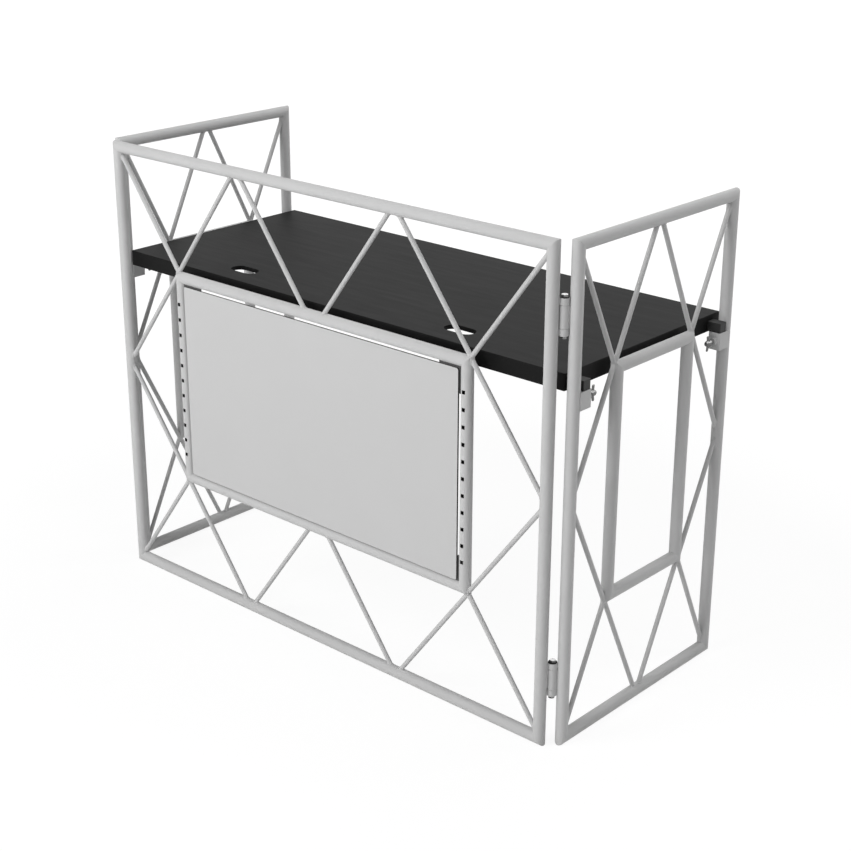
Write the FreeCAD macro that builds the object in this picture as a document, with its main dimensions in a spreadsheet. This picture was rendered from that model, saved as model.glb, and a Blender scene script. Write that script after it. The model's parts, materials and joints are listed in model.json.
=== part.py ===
import FreeCAD, Part
import Sketcher
import math
import os

# Folding DJ booth: a tube-and-rod front frame with a screen panel, two hinged wings
# and a lift-off tabletop. Millimetres, +Z up, the audience side faces -Y, and the
# origin is on the floor under the middle of the booth.

SIZES = [
    ("frame_height", 1150), ("frame_width", 1394), ("wing_depth", 590),
    ("tube_od", 28), ("tube_wall", 1.5), ("rod_od", 11),
    ("screen_width", 928), ("screen_height", 533), ("wing_bay", 149),
    ("hinge_step", 35),
    # where the lattice rods land on the tube centre lines
    ("front_apex", 252), ("apex_half_gap", 6.85), ("front_mid_gap", 23.7), ("wing_apex_gap", 5),
    ("band_foot_out", 9.5), ("band_foot_up", 11), ("corner_foot_out", 1), ("corner_head_out", 3),
    ("wing_corner_foot", 6.7), ("side_foot_out", 7.9), ("side_foot_up", 11),
    ("wing_side_foot", 11), ("wing_side_head_in", 2.8),
    # screen posts, panel and corner plates
    ("hole_side", 9), ("hole_pitch", 40), ("hole_count", 11),
    ("panel_side_gap", 4), ("panel_top_gap", 4), ("panel_foot_gap", 2), ("panel_thick", 4.5),
    ("panel_front", 10.3), ("panel_corner", 5), ("plate_leg", 50), ("plate_thick", 3),
    # hinges
    ("barrel_od", 20.5), ("barrel_len", 80), ("barrel_rise", 412.7), ("knuckle_len", 15),
    ("knuckle_gap", 0.5), ("web_thick", 6), ("bolt_dia", 8), ("running_gap", 0.05),
    ("hex_flats", 13), ("head_height", 5.3), ("nut_height", 6.5), ("bolt_tail", 2),
    ("washer_od", 20), ("washer_thick", 1.6), ("washer_gap", 0.2),
    # tabletop
    ("table_thick", 38.5), ("table_over_rail", 19.5), ("table_side_gap", 7), ("table_front_gap", 31),
    ("table_rear_inset", 4), ("table_corner", 3), ("table_edge", 1.5),
    ("table_skin", 10), ("table_skirt", 30),
    ("slot_length", 82), ("slot_width", 42), ("slot_side", 350), ("slot_inset", 75.5),
    ("lug_rise", 3.5), ("lug_inset", 2), ("lug_height", 22.5), ("lug_gap", 1.2), ("lug_corner", 2),
    # table brackets and wing screws
    ("bracket_width", 31), ("bracket_reach", 41), ("bracket_height", 40), ("bracket_plate", 3),
    ("bracket_heel", 4), ("bracket_bend", 3), ("boss_od", 19), ("boss_thick", 8),
    ("screw_dia", 8), ("screw_tip", 16), ("screw_neck", 55), ("screw_end", 74), ("hub_od", 15),
    ("wing_span", 38), ("wing_blade", 8), ("blade_thick", 4),
]

doc = FreeCAD.newDocument("DjBooth")
sheet = doc.addObject("Spreadsheet::Sheet", "Sizes")
for row, (alias, value) in enumerate(SIZES, start=1):
    sheet.set("A%d" % row, alias)
    sheet.set("B%d" % row, str(value))
    sheet.setAlias("B%d" % row, alias)
doc.recompute()


class Size:
    """A length that carries its sheet expression along with its present value."""

    def __init__(self, text, value):
        self.text = text
        self.value = value

    @staticmethod
    def of(other):
        return other if isinstance(other, Size) else Size(repr(float(other)), float(other))

    def __add__(self, other):
        other = Size.of(other)
        return Size("(%s + %s)" % (self.text, other.text), self.value + other.value)

    def __sub__(self, other):
        other = Size.of(other)
        return Size("(%s - %s)" % (self.text, other.text), self.value - other.value)

    def __mul__(self, factor):
        return Size("(%s * %r)" % (self.text, float(factor)), self.value * factor)

    def __truediv__(self, factor):
        return Size("(%s / %r)" % (self.text, float(factor)), self.value / factor)

    def __neg__(self):
        return Size("(0 - %s)" % self.text, -self.value)

    def times(self, other):
        return Size("(%s * %s)" % (self.text, other.text), self.value * other.value)


def size(alias):
    return Size("Sizes." + alias, float(sheet.get(alias)))


def hypot(a, b):
    return Size("sqrt(%s ^ 2 + %s ^ 2)" % (a.text, b.text), math.hypot(a.value, b.value))


def slant(a, b):
    return Size("atan2(%s; %s)" % (a.text, b.text), math.degrees(math.atan2(a.value, b.value)))


ZERO = Size("0", 0.0)
OD = size("tube_od")
R = OD / 2
MID = size("frame_height") / 2
FRONT_Y = (OD - size("hinge_step") - size("wing_depth")) / 2
FRONT_HALF = (size("frame_width") - OD) / 2
RISE = (size("frame_height") - OD) / 2
SCREEN_HALF = size("screen_width") / 2
SCREEN_RISE = size("screen_height") / 2
WING_X = FRONT_HALF + size("hinge_step")
WING_HALF = (size("wing_depth") - OD) / 2
WING_Y = FRONT_Y + size("hinge_step") + WING_HALF
WING_FRONT = WING_Y - WING_HALF
WINDOW_HALF = WING_HALF - size("wing_bay")
TABLE_TOP = MID + SCREEN_RISE + size("table_over_rail")
TABLE_HALF = WING_X - R - size("table_side_gap")


def make_body(label):
    body = doc.addObject("PartDesign::Body", label)
    body.Label = label
    return body


def make_sketch(body, plane, offset=None):
    sketch = body.newObject("Sketcher::SketchObject", body.Name + "_sketch")
    support = [f for f in body.Origin.OriginFeatures if f.Role == plane + "_Plane"][0]
    sketch.AttachmentSupport = [(support, "")]
    sketch.MapMode = "FlatFace"
    if offset is not None:
        sketch.setExpression("AttachmentOffset.Base.z", offset.text)
    return sketch


def bind(sketch, kind, args, amount):
    index = sketch.addConstraint(Sketcher.Constraint(kind, *args, amount.value))
    name = "d%d" % index
    sketch.renameConstraint(index, name)
    sketch.setExpression("Constraints." + name, amount.text)


def pin(sketch, geo, end, x, y):
    bind(sketch, "DistanceX", (-1, 1, geo, end), x)
    bind(sketch, "DistanceY", (-1, 1, geo, end), y)


def add_circle(sketch, x, y, diameter):
    shape = Part.Circle(FreeCAD.Vector(x.value, y.value, 0), FreeCAD.Vector(0, 0, 1), diameter.value / 2)
    geo = sketch.addGeometry(shape, False)
    pin(sketch, geo, 3, x, y)
    bind(sketch, "Diameter", (geo,), diameter)


def add_polygon(sketch, points):
    corners = [FreeCAD.Vector(x.value, y.value, 0) for x, y in points]
    edges = []
    for start, end in zip(corners, corners[1:] + corners[:1]):
        edges.append(sketch.addGeometry(Part.LineSegment(start, end), False))
    for edge, follower in zip(edges, edges[1:] + edges[:1]):
        sketch.addConstraint(Sketcher.Constraint("Coincident", edge, 2, follower, 1))
    for edge, (x, y) in zip(edges, points):
        pin(sketch, edge, 1, x, y)


def add_box(sketch, x0, x1, y0, y1):
    add_polygon(sketch, [(x0, y0), (x1, y0), (x1, y1), (x0, y1)])


def add_slot(sketch, first, second, radius):
    heading = math.atan2(second[1].value - first[1].value, second[0].value - first[0].value)
    quarter = math.pi / 2
    normal = FreeCAD.Vector(0, 0, 1)
    ends = [FreeCAD.Vector(x.value, y.value, 0) for x, y in (first, second)]
    side = FreeCAD.Vector(math.cos(heading + quarter), math.sin(heading + quarter), 0) * radius.value
    rounds = [Part.Circle(end, normal, radius.value) for end in ends]
    near = sketch.addGeometry(Part.ArcOfCircle(rounds[0], heading + quarter, heading + 3 * quarter))
    far = sketch.addGeometry(Part.ArcOfCircle(rounds[1], heading - quarter, heading + quarter))
    left = sketch.addGeometry(Part.LineSegment(ends[0] + side, ends[1] + side))
    right = sketch.addGeometry(Part.LineSegment(ends[0] - side, ends[1] - side))
    for joint in ((near, 1, left, 1), (left, 2, far, 2), (far, 1, right, 2), (right, 1, near, 2)):
        sketch.addConstraint(Sketcher.Constraint("Tangent", *joint))
    sketch.addConstraint(Sketcher.Constraint("Equal", near, far))
    pin(sketch, near, 3, *first)
    pin(sketch, far, 3, *second)
    bind(sketch, "Radius", (near,), radius)


def pad(body, sketch, length, both_ways=False):
    feature = body.newObject("PartDesign::Pad", body.Name + "_pad")
    feature.Profile = sketch
    feature.SideType = "Symmetric" if both_ways else "One side"
    feature.setExpression("Length", length.text)
    sketch.Visibility = False
    return feature


def pocket_through(body, sketch):
    feature = body.newObject("PartDesign::Pocket", body.Name + "_pocket")
    feature.Profile = sketch
    feature.Type = "ThroughAll"
    feature.SideType = "Symmetric"
    return feature


def fillet_upright_edges(body, radius, along, chosen):
    """Round the straight edges along one axis whose middle passes the test."""
    doc.recompute()
    tip = body.Tip
    names = []
    for number, edge in enumerate(tip.Shape.Edges, start=1):
        run = edge.BoundBox
        spans = {"x": run.XLength, "y": run.YLength, "z": run.ZLength}
        straight = abs(spans[along] - edge.Length) < 1e-6
        if straight and chosen(edge.CenterOfMass):
            names.append("Edge%d" % number)
    feature = body.newObject("PartDesign::Fillet", body.Name + "_fillet")
    feature.Base = (tip, names)
    feature.setExpression("Radius", radius.text)


def mirror(source, label, axis, at=ZERO):
    feature = doc.addObject("Part::Mirroring", label)
    feature.Label = label
    feature.Source = source
    feature.Normal = FreeCAD.Vector(*[1 if letter == axis else 0 for letter in "xyz"])
    feature.setExpression("Base." + axis, at.text)
    return feature


def group(label, members):
    feature = doc.addObject("Part::Compound", label)
    feature.Label = label
    feature.Links = members
    return feature


def cut(base, *tools):
    for tool in tools:
        feature = doc.addObject("Part::Cut", base.Name + "_cut")
        feature.Base = base
        feature.Tool = tool
        base = feature
    return base


def frame_side(label, facing, depth, centre, half, rise, hollow=True):
    """Upright of a mitred rectangular frame, on the side of larger X or Y."""
    body = make_body(label)
    across = centre + half
    spot = (across, depth) if facing == "XZ" else (depth, across)
    start = make_sketch(body, "XY", MID - rise - R)
    add_circle(start, spot[0], spot[1], OD)
    pad(body, start, rise * 2 + OD)
    mitre = make_sketch(body, facing)
    outer, inner = across + OD, across - OD
    for sign in (1, -1):
        high, low = MID + (rise + OD) * sign, MID + (rise - OD) * sign
        add_polygon(mitre, [(outer, high), (inner, high), (inner, low)])
    pocket_through(body, mitre)
    if hollow:
        bore = make_sketch(body, "XY")
        add_circle(bore, spot[0], spot[1], OD - size("tube_wall") * 2)
        pocket_through(body, bore)
    return body


def frame_top(label, facing, depth, centre, half, rise, hollow=True):
    """Top rail of the same frame, meeting the uprights on the mitre lines."""
    body = make_body(label)
    level = MID + rise
    if facing == "XZ":
        start = make_sketch(body, "YZ", centre - half - R)
        plane = "YZ"
    else:
        start = make_sketch(body, "XZ", -(centre + half + R))
        plane = "XZ"
    add_circle(start, depth, level, OD)
    pad(body, start, half * 2 + OD)
    mitre = make_sketch(body, facing)
    high, low = level + OD, level - OD
    for sign in (1, -1):
        outer, inner = centre + (half + OD) * sign, centre + (half - OD) * sign
        add_polygon(mitre, [(outer, high), (outer, low), (inner, low)])
    pocket_through(body, mitre)
    if hollow:
        bore = make_sketch(body, plane)
        add_circle(bore, depth, level, OD - size("tube_wall") * 2)
        pocket_through(body, bore)
    return body


def rod(label, facing, depth, first, second):
    """Round bar in the plane of a frame, from one centre-line point to another."""
    across, up = second[0] - first[0], second[1] - first[1]
    turn = slant(across, up)
    bar = doc.addObject("Part::Cylinder", label)
    bar.setExpression("Radius", (size("rod_od") / 2).text)
    bar.setExpression("Height", hypot(across, up).text)
    axis = FreeCAD.Vector(0, 1, 0) if facing == "XZ" else FreeCAD.Vector(-1, 0, 0)
    bar.Placement = FreeCAD.Placement(FreeCAD.Vector(), FreeCAD.Rotation(axis, turn.value))
    bar.setExpression("Placement.Rotation.Angle", turn.text)
    spot = (first[0], depth, first[1]) if facing == "XZ" else (depth, first[0], first[1])
    for letter, amount in zip("xyz", spot):
        bar.setExpression("Placement.Base." + letter, amount.text)
    return bar


def hexagon(x, y, flats):
    across = flats / math.sqrt(3)
    spots = []
    for step in range(6):
        angle = math.radians(60 * step + 30)
        spots.append((x + across * math.cos(angle), y + across * math.sin(angle)))
    return spots


NODES = []


def keep(*objects):
    NODES.extend(objects)


# Front frame: outer rectangle, screen rectangle with rows of square holes in its posts

front_outer = ("XZ", FRONT_Y, ZERO, FRONT_HALF, RISE)
front_inner = ("XZ", FRONT_Y, ZERO, SCREEN_HALF, SCREEN_RISE)
front_right = frame_side("front_right_upright", *front_outer)
front_top = frame_top("front_top_rail", *front_outer)
keep(front_right, mirror(front_right, "front_left_upright", "x"))
keep(front_top, mirror(front_top, "front_bottom_rail", "z", MID))

screen_post = frame_side("screen_right_post", *front_inner)
punch = make_sketch(screen_post, "XZ")
hole_run = size("hole_pitch").times(size("hole_count") - 1)
hole_half, hole_z = size("hole_side") / 2, MID - hole_run / 2
add_box(punch, SCREEN_HALF - hole_half, SCREEN_HALF + hole_half, hole_z - hole_half, hole_z + hole_half)
first_hole = pocket_through(screen_post, punch)
holes = screen_post.newObject("PartDesign::LinearPattern", "screen_post_holes")
holes.Originals = [first_hole]
holes.Direction = (punch, ["V_Axis"])
holes.setExpression("Length", hole_run.text)
holes.setExpression("Occurrences", size("hole_count").text)
screen_post.Tip = holes
screen_top = frame_top("screen_top_rail", *front_inner)
keep(screen_post, mirror(screen_post, "screen_left_post", "x"))
keep(screen_top, mirror(screen_top, "screen_bottom_rail", "z", MID))

# Solid outlines of the tubes, used to cope the ends of what is welded to them

solid_front_side = frame_side("solid_front_side", *front_outer, hollow=False)
solid_front_top = frame_top("solid_front_top", *front_outer, hollow=False)
solid_screen_side = frame_side("solid_screen_side", *front_inner, hollow=False)
solid_screen_top = frame_top("solid_screen_top", *front_inner, hollow=False)

# Lattice rods of the front frame: one quarter, then mirrored twice

rail_z, screen_z = MID + RISE, MID + SCREEN_RISE
apex = size("front_apex")
gap = size("apex_half_gap")
inner_bar = rod("front_inner_bar", "XZ", FRONT_Y, (size("front_mid_gap"), screen_z), (apex - gap, rail_z))
band_foot = (size("band_foot_out"), screen_z + size("band_foot_up"))
side_foot = screen_z + size("side_foot_up")
outer_bar = rod("front_outer_bar", "XZ", FRONT_Y, (SCREEN_HALF + band_foot[0], band_foot[1]),
                (apex + gap, rail_z))
corner_bar = rod("front_corner_bar", "XZ", FRONT_Y, (SCREEN_HALF + size("corner_foot_out"), screen_z),
                 (FRONT_HALF + size("corner_head_out"), rail_z))
side_bar = rod("front_side_bar", "XZ", FRONT_Y, (SCREEN_HALF + size("side_foot_out"), side_foot),
               (FRONT_HALF, MID))
front_quarter = group("front_rod_quarter", [
    cut(inner_bar, solid_screen_top, solid_front_top),
    cut(outer_bar, solid_screen_top, solid_screen_side, solid_front_top),
    cut(corner_bar, solid_screen_top, solid_screen_side, solid_front_top, solid_front_side, outer_bar),
    cut(side_bar, solid_screen_top, solid_screen_side, solid_front_side, corner_bar),
])
front_low = mirror(front_quarter, "front_rod_quarter_low", "z", MID)
front_half = group("front_rod_half", [front_quarter, front_low])
keep(group("front_lattice_rods", [front_half, mirror(front_half, "front_rod_half_left", "x")]))

# Screen panel on four corner plates

panel_back = FRONT_Y - size("panel_front") + size("panel_thick")
panel_half = SCREEN_HALF - R - size("panel_side_gap")
panel_foot = MID - SCREEN_RISE + R + size("panel_foot_gap")
panel_top = MID + SCREEN_RISE - R - size("panel_top_gap")
panel = make_body("screen_panel")
outline = make_sketch(panel, "XZ", -panel_back)
add_box(outline, -panel_half, panel_half, panel_foot, panel_top)
pad(panel, outline, size("panel_thick"))
fillet_upright_edges(panel, size("panel_corner"), "y", lambda spot: True)
keep(panel)

plate = make_body("corner_plate")
outline = make_sketch(plate, "XZ", -(panel_back + size("plate_thick")))
edge_x, edge_z = SCREEN_HALF - R, screen_z - R
add_polygon(outline, [(SCREEN_HALF, screen_z), (edge_x - size("plate_leg"), screen_z),
                      (edge_x - size("plate_leg"), edge_z), (edge_x, edge_z - size("plate_leg")),
                      (SCREEN_HALF, edge_z - size("plate_leg"))])
pad(plate, outline, size("plate_thick"))
coped_plate = cut(plate, solid_screen_side, solid_screen_top)
plate_pair = group("corner_plate_pair", [coped_plate, mirror(coped_plate, "corner_plate_low", "z", MID)])
keep(group("screen_corner_plates", [plate_pair, mirror(plate_pair, "corner_plates_left", "x")]))

# Right wing: outer rectangle and window rectangle; the left wing is its mirror image

wing_outer = ("YZ", WING_X, WING_Y, WING_HALF, RISE)
wing_inner = ("YZ", WING_X, WING_Y, WINDOW_HALF, SCREEN_RISE)
wing_rear = frame_side("right_rear_upright", *wing_outer)
wing_top = frame_top("right_top_rail", *wing_outer)
window_rear = frame_side("right_window_rear_post", *wing_inner)
window_top = frame_top("right_window_top_rail", *wing_inner)
right_wing = [
    wing_rear, mirror(wing_rear, "right_front_upright", "y", WING_Y),
    wing_top, mirror(wing_top, "right_bottom_rail", "z", MID),
    window_rear, mirror(window_rear, "right_window_front_post", "y", WING_Y),
    window_top, mirror(window_top, "right_window_bottom_rail", "z", MID),
]

solid_wing_side = frame_side("solid_wing_side", *wing_outer, hollow=False)
solid_wing_top = frame_top("solid_wing_top", *wing_outer, hollow=False)
solid_window_side = frame_side("solid_window_side", *wing_inner, hollow=False)
solid_window_top = frame_top("solid_window_top", *wing_inner, hollow=False)

window_y, rear_y = WING_Y + WINDOW_HALF, WING_Y + WING_HALF
band_bar = rod("wing_band_bar", "YZ", WING_X, (window_y + band_foot[0], band_foot[1]),
               (WING_Y + size("wing_apex_gap"), rail_z))
wing_corner = rod("wing_corner_bar", "YZ", WING_X, (window_y + size("wing_corner_foot"), screen_z),
                  (rear_y, rail_z))
wing_side = rod("wing_side_bar", "YZ", WING_X, (window_y + size("wing_side_foot"), side_foot),
                (rear_y - size("wing_side_head_in"), MID))
wing_quarter = group("wing_rod_quarter", [
    cut(band_bar, solid_window_top, solid_window_side, solid_wing_top),
    cut(wing_corner, solid_window_top, solid_window_side, solid_wing_top, solid_wing_side, band_bar),
    cut(wing_side, solid_window_top, solid_window_side, solid_wing_side, wing_corner),
])
wing_low = mirror(wing_quarter, "wing_rod_quarter_low", "z", MID)
wing_half = group("wing_rod_half", [wing_quarter, wing_low])
wing_front_half = mirror(wing_half, "wing_rod_half_front", "y", WING_Y)
right_wing.append(group("right_lattice_rods", [wing_half, wing_front_half]))

# Hinges: two barrels per side on a line halfway between the two uprights

hinge_x = FRONT_HALF + size("hinge_step") / 2
hinge_y = FRONT_Y + size("hinge_step") / 2
hinge_z = MID + size("barrel_rise")
barrel_half = size("barrel_len") / 2
bolt_bore = size("bolt_dia") + size("running_gap") * 2


def knuckle(label, bottom, length, reach):
    """Hinge barrel piece with a web to the tube that lies at (reach, reach) from its axis."""
    body = make_body(label)
    barrel = make_sketch(body, "XY", bottom)
    add_circle(barrel, hinge_x, hinge_y, size("barrel_od"))
    pad(body, barrel, length)
    web = make_sketch(body, "XY", bottom)
    half = size("web_thick") / math.sqrt(8)
    tube_x, tube_y = hinge_x + reach, hinge_y + reach
    add_polygon(web, [(hinge_x + half, hinge_y - half), (tube_x + half, tube_y - half),
                      (tube_x - half, tube_y + half), (hinge_x - half, hinge_y + half)])
    pad(body, web, length)
    for x, y, diameter in ((tube_x, tube_y, OD), (hinge_x, hinge_y, bolt_bore)):
        hole = make_sketch(body, "XY")
        add_circle(hole, x, y, diameter)
        pocket_through(body, hole)
    return body


def ring(label, plane, spot, start, length, outside, bore):
    """Washer, nut or boss: a hexagon or a disc with a plain hole."""
    body = make_body(label)
    face = make_sketch(body, plane, start)
    if isinstance(outside, list):
        add_polygon(face, outside)
    else:
        add_circle(face, spot[0], spot[1], outside)
    add_circle(face, spot[0], spot[1], bore)
    pad(body, face, length)
    return body


half_step = size("hinge_step") / 2
knuckle_len = size("knuckle_len")
end_knuckle = knuckle("hinge_end_knuckle", hinge_z + barrel_half - knuckle_len, knuckle_len, -half_step)
low_knuckle = mirror(end_knuckle, "hinge_end_knuckle_low", "z", hinge_z)
end_pair = group("hinge_knuckle_pair", [end_knuckle, low_knuckle])
end_four = group("hinge_knuckle_four", [end_pair, mirror(end_pair, "hinge_knuckle_pair_low", "z", MID)])
keep(group("hinge_frame_knuckles", [end_four, mirror(end_four, "hinge_knuckles_left", "x")]))

sleeve_half = barrel_half - knuckle_len - size("knuckle_gap")
sleeve = knuckle("hinge_sleeve", hinge_z - sleeve_half, sleeve_half * 2, half_step)
right_wing.append(group("right_hinge_sleeves", [sleeve, mirror(sleeve, "hinge_sleeve_low", "z", MID)]))

bolts, nuts, washers = [], [], []
for place, level in (("upper", hinge_z), ("lower", MID - size("barrel_rise"))):
    spot = (hinge_x, hinge_y)
    head_under = level + barrel_half + size("washer_thick")
    nut_top = level - barrel_half
    bolt_end = nut_top - size("nut_height") - size("bolt_tail")
    bolt = make_body(place + "_hinge_bolt")
    shank = make_sketch(bolt, "XY", bolt_end)
    add_circle(shank, hinge_x, hinge_y, size("bolt_dia"))
    pad(bolt, shank, head_under - bolt_end)
    head = make_sketch(bolt, "XY", head_under)
    add_polygon(head, hexagon(hinge_x, hinge_y, size("hex_flats")))
    pad(bolt, head, size("head_height"))
    bolts.append(bolt)
    nuts.append(ring(place + "_hinge_nut", "XY", spot, nut_top - size("nut_height"), size("nut_height"),
                     hexagon(hinge_x, hinge_y, size("hex_flats")), bolt_bore))
    washers.append(ring(place + "_hinge_washer", "XY", spot, level + barrel_half, size("washer_thick"),
                        size("washer_od"), size("bolt_dia") + size("washer_gap") * 2))
for label, members in (("hinge_bolts", bolts), ("hinge_nuts", nuts), ("hinge_washers", washers)):
    right_set = group(label + "_right", members)
    keep(group(label, [right_set, mirror(right_set, label + "_left", "x")]))

# Table brackets: folded pockets coped on to the wing uprights, each with a boss and a wing screw

table_under = TABLE_TOP - size("table_thick")
bracket_top = table_under + size("lug_rise")
bracket_mid = bracket_top - size("bracket_height") / 2
bracket_face = WING_FRONT + size("bracket_reach")
bracket = make_body("front_table_bracket")
fold = make_sketch(bracket, "XY", bracket_top - size("bracket_height"))
wide = size("bracket_width") / 2
narrow = wide - size("bracket_plate")
heel = WING_FRONT + size("bracket_heel")
inside = bracket_face - size("bracket_plate")
add_polygon(fold, [(WING_X - wide, heel), (WING_X - wide, bracket_face), (WING_X + wide, bracket_face),
                   (WING_X + wide, heel), (WING_X + narrow, heel), (WING_X + narrow, inside),
                   (WING_X - narrow, inside), (WING_X - narrow, heel)])
pad(bracket, fold, size("bracket_height"))
seat = make_sketch(bracket, "XY")
add_circle(seat, WING_X, WING_FRONT, OD)
pocket_through(bracket, seat)
screw_way = make_sketch(bracket, "XZ")
add_circle(screw_way, WING_X, bracket_mid, size("screw_dia") + size("running_gap") * 2)
pocket_through(bracket, screw_way)
fillet_upright_edges(bracket, size("bracket_bend"), "z",
                     lambda spot: abs(spot.y - bracket_face.value) < 0.01)
rear_bracket = mirror(bracket, "rear_table_bracket", "y", WING_Y)
right_wing.append(group("right_table_brackets", [bracket, rear_bracket]))

boss = ring("front_screw_boss", "XZ", (WING_X, bracket_mid), -(bracket_face + size("boss_thick")),
            size("boss_thick"), size("boss_od"), size("screw_dia") + size("running_gap") * 2)
right_wing.append(group("right_screw_bosses", [boss, mirror(boss, "rear_screw_boss", "y", WING_Y)]))

keep(*right_wing)
for node in right_wing:
    keep(mirror(node, "left" + node.Label[len("right"):], "x"))

wing_screw = make_body("right_front_wing_screw")
profile = make_sketch(wing_screw, "YZ", WING_X)
shank_r, hub_r = size("screw_dia") / 2, size("hub_od") / 2
tip, neck, end = (WING_FRONT + size(alias) for alias in ("screw_tip", "screw_neck", "screw_end"))
axis_ends = [FreeCAD.Vector(spot.value, bracket_mid.value, 0) for spot in (tip, end)]
axis_line = profile.addGeometry(Part.LineSegment(*axis_ends), True)
pin(profile, axis_line, 1, tip, bracket_mid)
pin(profile, axis_line, 2, end, bracket_mid)
add_polygon(profile, [(tip, bracket_mid), (tip, bracket_mid + shank_r * 0.7),
                      (tip + 1.2, bracket_mid + shank_r), (neck, bracket_mid + shank_r),
                      (neck, bracket_mid + hub_r * 0.85), (neck + 3, bracket_mid + hub_r),
                      (end - 5, bracket_mid + hub_r * 0.85), (end, bracket_mid + hub_r * 0.55),
                      (end, bracket_mid)])
turned = wing_screw.newObject("PartDesign::Revolution", "wing_screw_turned")
turned.Profile = profile
turned.ReferenceAxis = (profile, ["Axis0"])
turned.Angle = 360
blade_r = size("wing_blade") / 2
for sign in (1, -1):
    blade = make_sketch(wing_screw, "YZ", WING_X)
    root = (neck + 9.5, bracket_mid + hub_r * 0.5 * sign)
    crown = (end - 6.5, bracket_mid + (size("wing_span") / 2 - blade_r) * sign)
    add_slot(blade, root, crown, blade_r)
    pad(wing_screw, blade, size("blade_thick"), both_ways=True)
rear_screw = mirror(wing_screw, "right_rear_wing_screw", "y", WING_Y)
keep(wing_screw, rear_screw)
keep(mirror(wing_screw, "left_front_wing_screw", "x"), mirror(rear_screw, "left_rear_wing_screw", "x"))

# Tabletop: thin board with a deep skirt and two cable slots, resting on the brackets by four lugs

table_front = FRONT_Y + size("table_front_gap")
table_rear = WING_Y + WING_HALF + R - size("table_rear_inset")
board = make_body("tabletop_board")
outline = make_sketch(board, "XY", table_under)
add_box(outline, -TABLE_HALF, TABLE_HALF, table_front, table_rear)
pad(board, outline, size("table_thick"))
underside = make_sketch(board, "XY", table_under)
skirt = size("table_skirt")
add_box(underside, skirt - TABLE_HALF, TABLE_HALF - skirt, table_front + skirt, table_rear - skirt)
tray = board.newObject("PartDesign::Pocket", "tabletop_tray")
tray.Profile = underside
tray.Reversed = True
tray.setExpression("Length", (size("table_thick") - size("table_skin")).text)
cable = make_sketch(board, "XY")
slot_r = size("slot_width") / 2
slot_y = table_front + size("slot_inset")
throw = size("slot_length") / 2 - slot_r
for sign in (1, -1):
    centre = size("slot_side") * sign
    add_slot(cable, (centre - throw, slot_y), (centre + throw, slot_y), slot_r)
pocket_through(board, cable)
fillet_upright_edges(board, size("table_corner"), "z",
                     lambda spot: abs(abs(spot.x) - TABLE_HALF.value) < 0.01)
doc.recompute()
rounded = board.Tip
rim = []
rim_reach = TABLE_HALF.value - size("table_corner").value - 1
for number, edge in enumerate(rounded.Shape.Edges, start=1):
    span = edge.BoundBox
    flat = span.ZLength < 1e-6
    outer = max(abs(span.XMin), abs(span.XMax)) > rim_reach
    if flat and outer:
        rim.append("Edge%d" % number)
soften = board.newObject("PartDesign::Fillet", "tabletop_rim")
soften.Base = (rounded, rim)
soften.setExpression("Radius", size("table_edge").text)
keep(board)

lug = make_body("table_lug")
outline = make_sketch(lug, "XY", bracket_top)
lug_face = bracket_face - size("lug_inset")
add_box(outline, TABLE_HALF, WING_X + wide - size("lug_inset"),
        WING_FRONT + R + size("lug_gap"), lug_face)
pad(lug, outline, size("lug_height"))
fillet_upright_edges(lug, size("lug_corner"), "z",
                     lambda spot: spot.x > TABLE_HALF.value + 1 and spot.y > lug_face.value - 1)
lug_pair = group("table_lug_pair", [lug, mirror(lug, "rear_table_lug", "y", WING_Y)])
keep(group("tabletop_lugs", [lug_pair, mirror(lug_pair, "table_lugs_left", "x")]))

doc.recompute()
for item in doc.Objects:
    if "Invalid" in item.State or "Error" in item.State:
        raise RuntimeError("%s did not rebuild: %s" % (item.Label, item.State))
os.makedirs("parts", exist_ok=True)
for node in NODES:
    shape = node.Shape
    if shape.isNull() or not shape.isValid() or not shape.Solids:
        raise RuntimeError("%s has no valid solid" % node.Label)
    shape.exportStep("parts/%s.step" % node.Label)
    print(node.Label, len(shape.Solids), round(shape.Volume / 1000.0, 1))
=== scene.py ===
import json
import math

import bmesh
import bpy
import numpy as np
from mathutils import Matrix, Vector


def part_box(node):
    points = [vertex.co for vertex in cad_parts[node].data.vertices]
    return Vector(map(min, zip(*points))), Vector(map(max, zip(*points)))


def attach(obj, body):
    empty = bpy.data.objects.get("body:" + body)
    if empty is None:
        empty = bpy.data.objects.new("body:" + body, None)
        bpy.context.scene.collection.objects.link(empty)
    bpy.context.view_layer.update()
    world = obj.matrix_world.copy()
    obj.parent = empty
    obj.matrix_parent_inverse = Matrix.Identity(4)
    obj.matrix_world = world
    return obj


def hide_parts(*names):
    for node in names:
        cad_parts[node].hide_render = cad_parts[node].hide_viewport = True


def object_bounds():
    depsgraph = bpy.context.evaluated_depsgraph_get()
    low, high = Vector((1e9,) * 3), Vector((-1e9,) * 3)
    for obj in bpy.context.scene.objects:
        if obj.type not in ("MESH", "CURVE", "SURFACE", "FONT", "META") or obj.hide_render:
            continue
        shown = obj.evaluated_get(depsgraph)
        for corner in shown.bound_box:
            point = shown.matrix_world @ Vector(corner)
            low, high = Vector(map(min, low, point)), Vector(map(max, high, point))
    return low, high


# A folding DJ booth in metres: +Z up, audience side towards -Y, floor at z = 0.

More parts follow.
